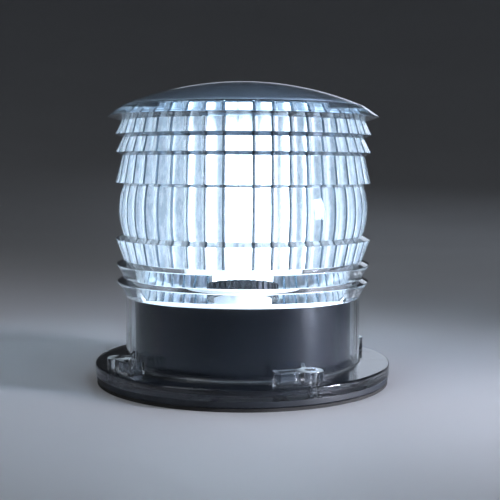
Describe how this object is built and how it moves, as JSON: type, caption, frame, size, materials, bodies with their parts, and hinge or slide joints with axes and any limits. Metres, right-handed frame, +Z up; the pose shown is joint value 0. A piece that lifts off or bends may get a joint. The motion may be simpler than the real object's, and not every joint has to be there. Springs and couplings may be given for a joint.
{
  "type": "solar marker light",
  "caption": "Round solar marker light with a ribbed clear prism lens, a brimmed dome over a solar panel, and a flange with screw lugs.",
  "frame": {"origin": "centre of the underside of the mounting gasket", "axes": "+Z up the light's axis to the dome; -Y is the front, midway between two screw lugs"},
  "size_m": [0.15, 0.15, 0.151],
  "materials": {
    "clear_lens": "clear polycarbonate, moulded",
    "clear_dome": "clear polycarbonate, slightly smoked",
    "black_plastic": "glossy black ABS",
    "base_plastic": "black ABS with a fine texture",
    "seal_rubber": "black EPDM",
    "white_plastic": "glossy white",
    "opal_diffuser": "frosted, lit from inside",
    "black_aluminium": "black anodised",
    "white_board": "white solder mask",
    "green_board": "green solder mask",
    "led_package": "white package with a pale phosphor window",
    "panel_backing": "dark laminate",
    "silicon": "dark blue silicon with fine grid lines",
    "plated_metal": "nickel plated",
    "battery_wrap": "plastic sleeve over a steel can",
    "holder_plastic": "black",
    "chip_black": "black epoxy",
    "ferrite": "dark ferrite with copper winding",
    "capacitor_can": "bare can",
    "connector_plastic": "natural nylon",
    "wire_insulation": "soft PVC",
    "button_plastic": "red"
  },
  "bodies": {
    "light": {"mounting_gasket": "seal_rubber", "base_plate": "base_plastic", "base_seal": "seal_rubber", "lens_body": "clear_lens", "dome_cover": "clear_dome", "inner_housing": "black_plastic", "reflector_plate": "white_plastic", "pedestal": "white_plastic", "led_column": "black_aluminium", "ring_board": "white_board", "led_boards": "white_board", "led_chips": "led_package", "diffuser_sleeve": "opal_diffuser", "diffuser_cap": "white_plastic", "conduit": "white_plastic", "panel_tray": "white_plastic", "solar_panel": "panel_backing", "solar_cells": "silicon", "cell_ribbons": "plated_metal", "battery_holder": "holder_plastic", "battery_cells": "battery_wrap", "battery_springs": "plated_metal", "battery_contacts": "plated_metal", "control_board": "green_board", "controller_chip": "chip_black", "inductor": "ferrite", "capacitors": "capacitor_can", "lead_connectors": "connector_plastic", "panel_leads": "wire_insulation", "led_leads": "wire_insulation", "battery_leads": "wire_insulation", "switch_leads": "wire_insulation", "light_switch": "chip_black", "button_seal": "seal_rubber", "base_screws": "plated_metal", "hub_screws": "plated_metal", "board_screws": "plated_metal", "holder_screws": "plated_metal"},
    "hatch": {"battery_hatch": "base_plastic", "hatch_seal": "seal_rubber"},
    "button": {"switch_button": "button_plastic"}
  },
  "joints": [
    {"name": "hatch_turn", "type": "hinge", "parent": "light", "child": "hatch", "pos_m": [0, 0, 0.0015], "axis": [0, 0, 1], "range_deg": [0, 40]},
    {"name": "button_press", "type": "slide", "parent": "light", "child": "button", "axis": [0, 0, 1], "range_m": [0, 0.0015], "stiffness_N_per_m": 600, "springref_m": -0.0015}
  ]
}
